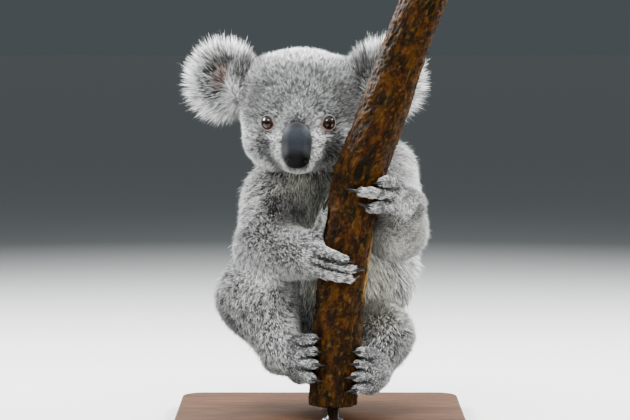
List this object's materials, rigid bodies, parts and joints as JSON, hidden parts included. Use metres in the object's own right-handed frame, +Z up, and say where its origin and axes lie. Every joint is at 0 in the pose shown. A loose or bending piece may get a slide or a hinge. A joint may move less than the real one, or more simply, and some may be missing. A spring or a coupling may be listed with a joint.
{
  "type": "koala display model",
  "caption": "Life-size still model of a koala that hugs a short slanting length of branch, held over a flat base by short rods.",
  "frame": {"origin": "middle of the underside of the stand's base", "axes": "+Z up, the animal faces -Y, its right side is at -X"},
  "size_m": [0.33, 0.29, 0.52],
  "materials": {
    "coat": "dense salt-and-pepper grey fur, white on the chest, the ear fringes and the rims, matt",
    "nose": "finely pebbled black skin with a soft sheen",
    "eye": "brown iris with an upright dark pupil under a wet, glassy surface",
    "claw": "smooth dark horn, polished at the tip",
    "bark": "flaky red-brown and orange bark with pale peeling strips, rough",
    "stand_wood": "dark-stained board with fine grain, satin",
    "stand_steel": "brushed rod"
  },
  "bodies": {
    "root": {"branch": "bark", "claw_foot_left_toe_2": "claw", "claw_foot_left_toe_3": "claw", "claw_foot_left_toe_4": "claw", "claw_foot_left_toe_5": "claw", "claw_foot_right_toe_2": "claw", "claw_foot_right_toe_3": "claw", "claw_foot_right_toe_4": "claw", "claw_foot_right_toe_5": "claw", "claw_hand_left_finger_3": "claw", "claw_hand_left_finger_4": "claw", "claw_hand_left_finger_5": "claw", "claw_hand_left_thumb_1": "claw", "claw_hand_left_thumb_2": "claw", "claw_hand_right_finger_3": "claw", "claw_hand_right_finger_4": "claw", "claw_hand_right_finger_5": "claw", "claw_hand_right_thumb_1": "claw", "claw_hand_right_thumb_2": "claw", "ear_left": "coat", "ear_right": "coat", "eye_left": "eye", "eye_right": "eye", "foot_left": "coat", "foot_right": "coat", "forearm_left": "coat", "forearm_right": "coat", "hand_left": "coat", "hand_right": "coat", "head": "coat", "neck": "coat", "nose": "nose", "shin_left": "coat", "shin_right": "coat", "stand_base": "stand_wood", "stand_rod_body": "stand_steel", "stand_rod_branch": "stand_steel", "thigh_left": "coat", "thigh_right": "coat", "trunk": "coat", "upper_arm_left": "coat", "upper_arm_right": "coat"}
  },
  "joints": []
}
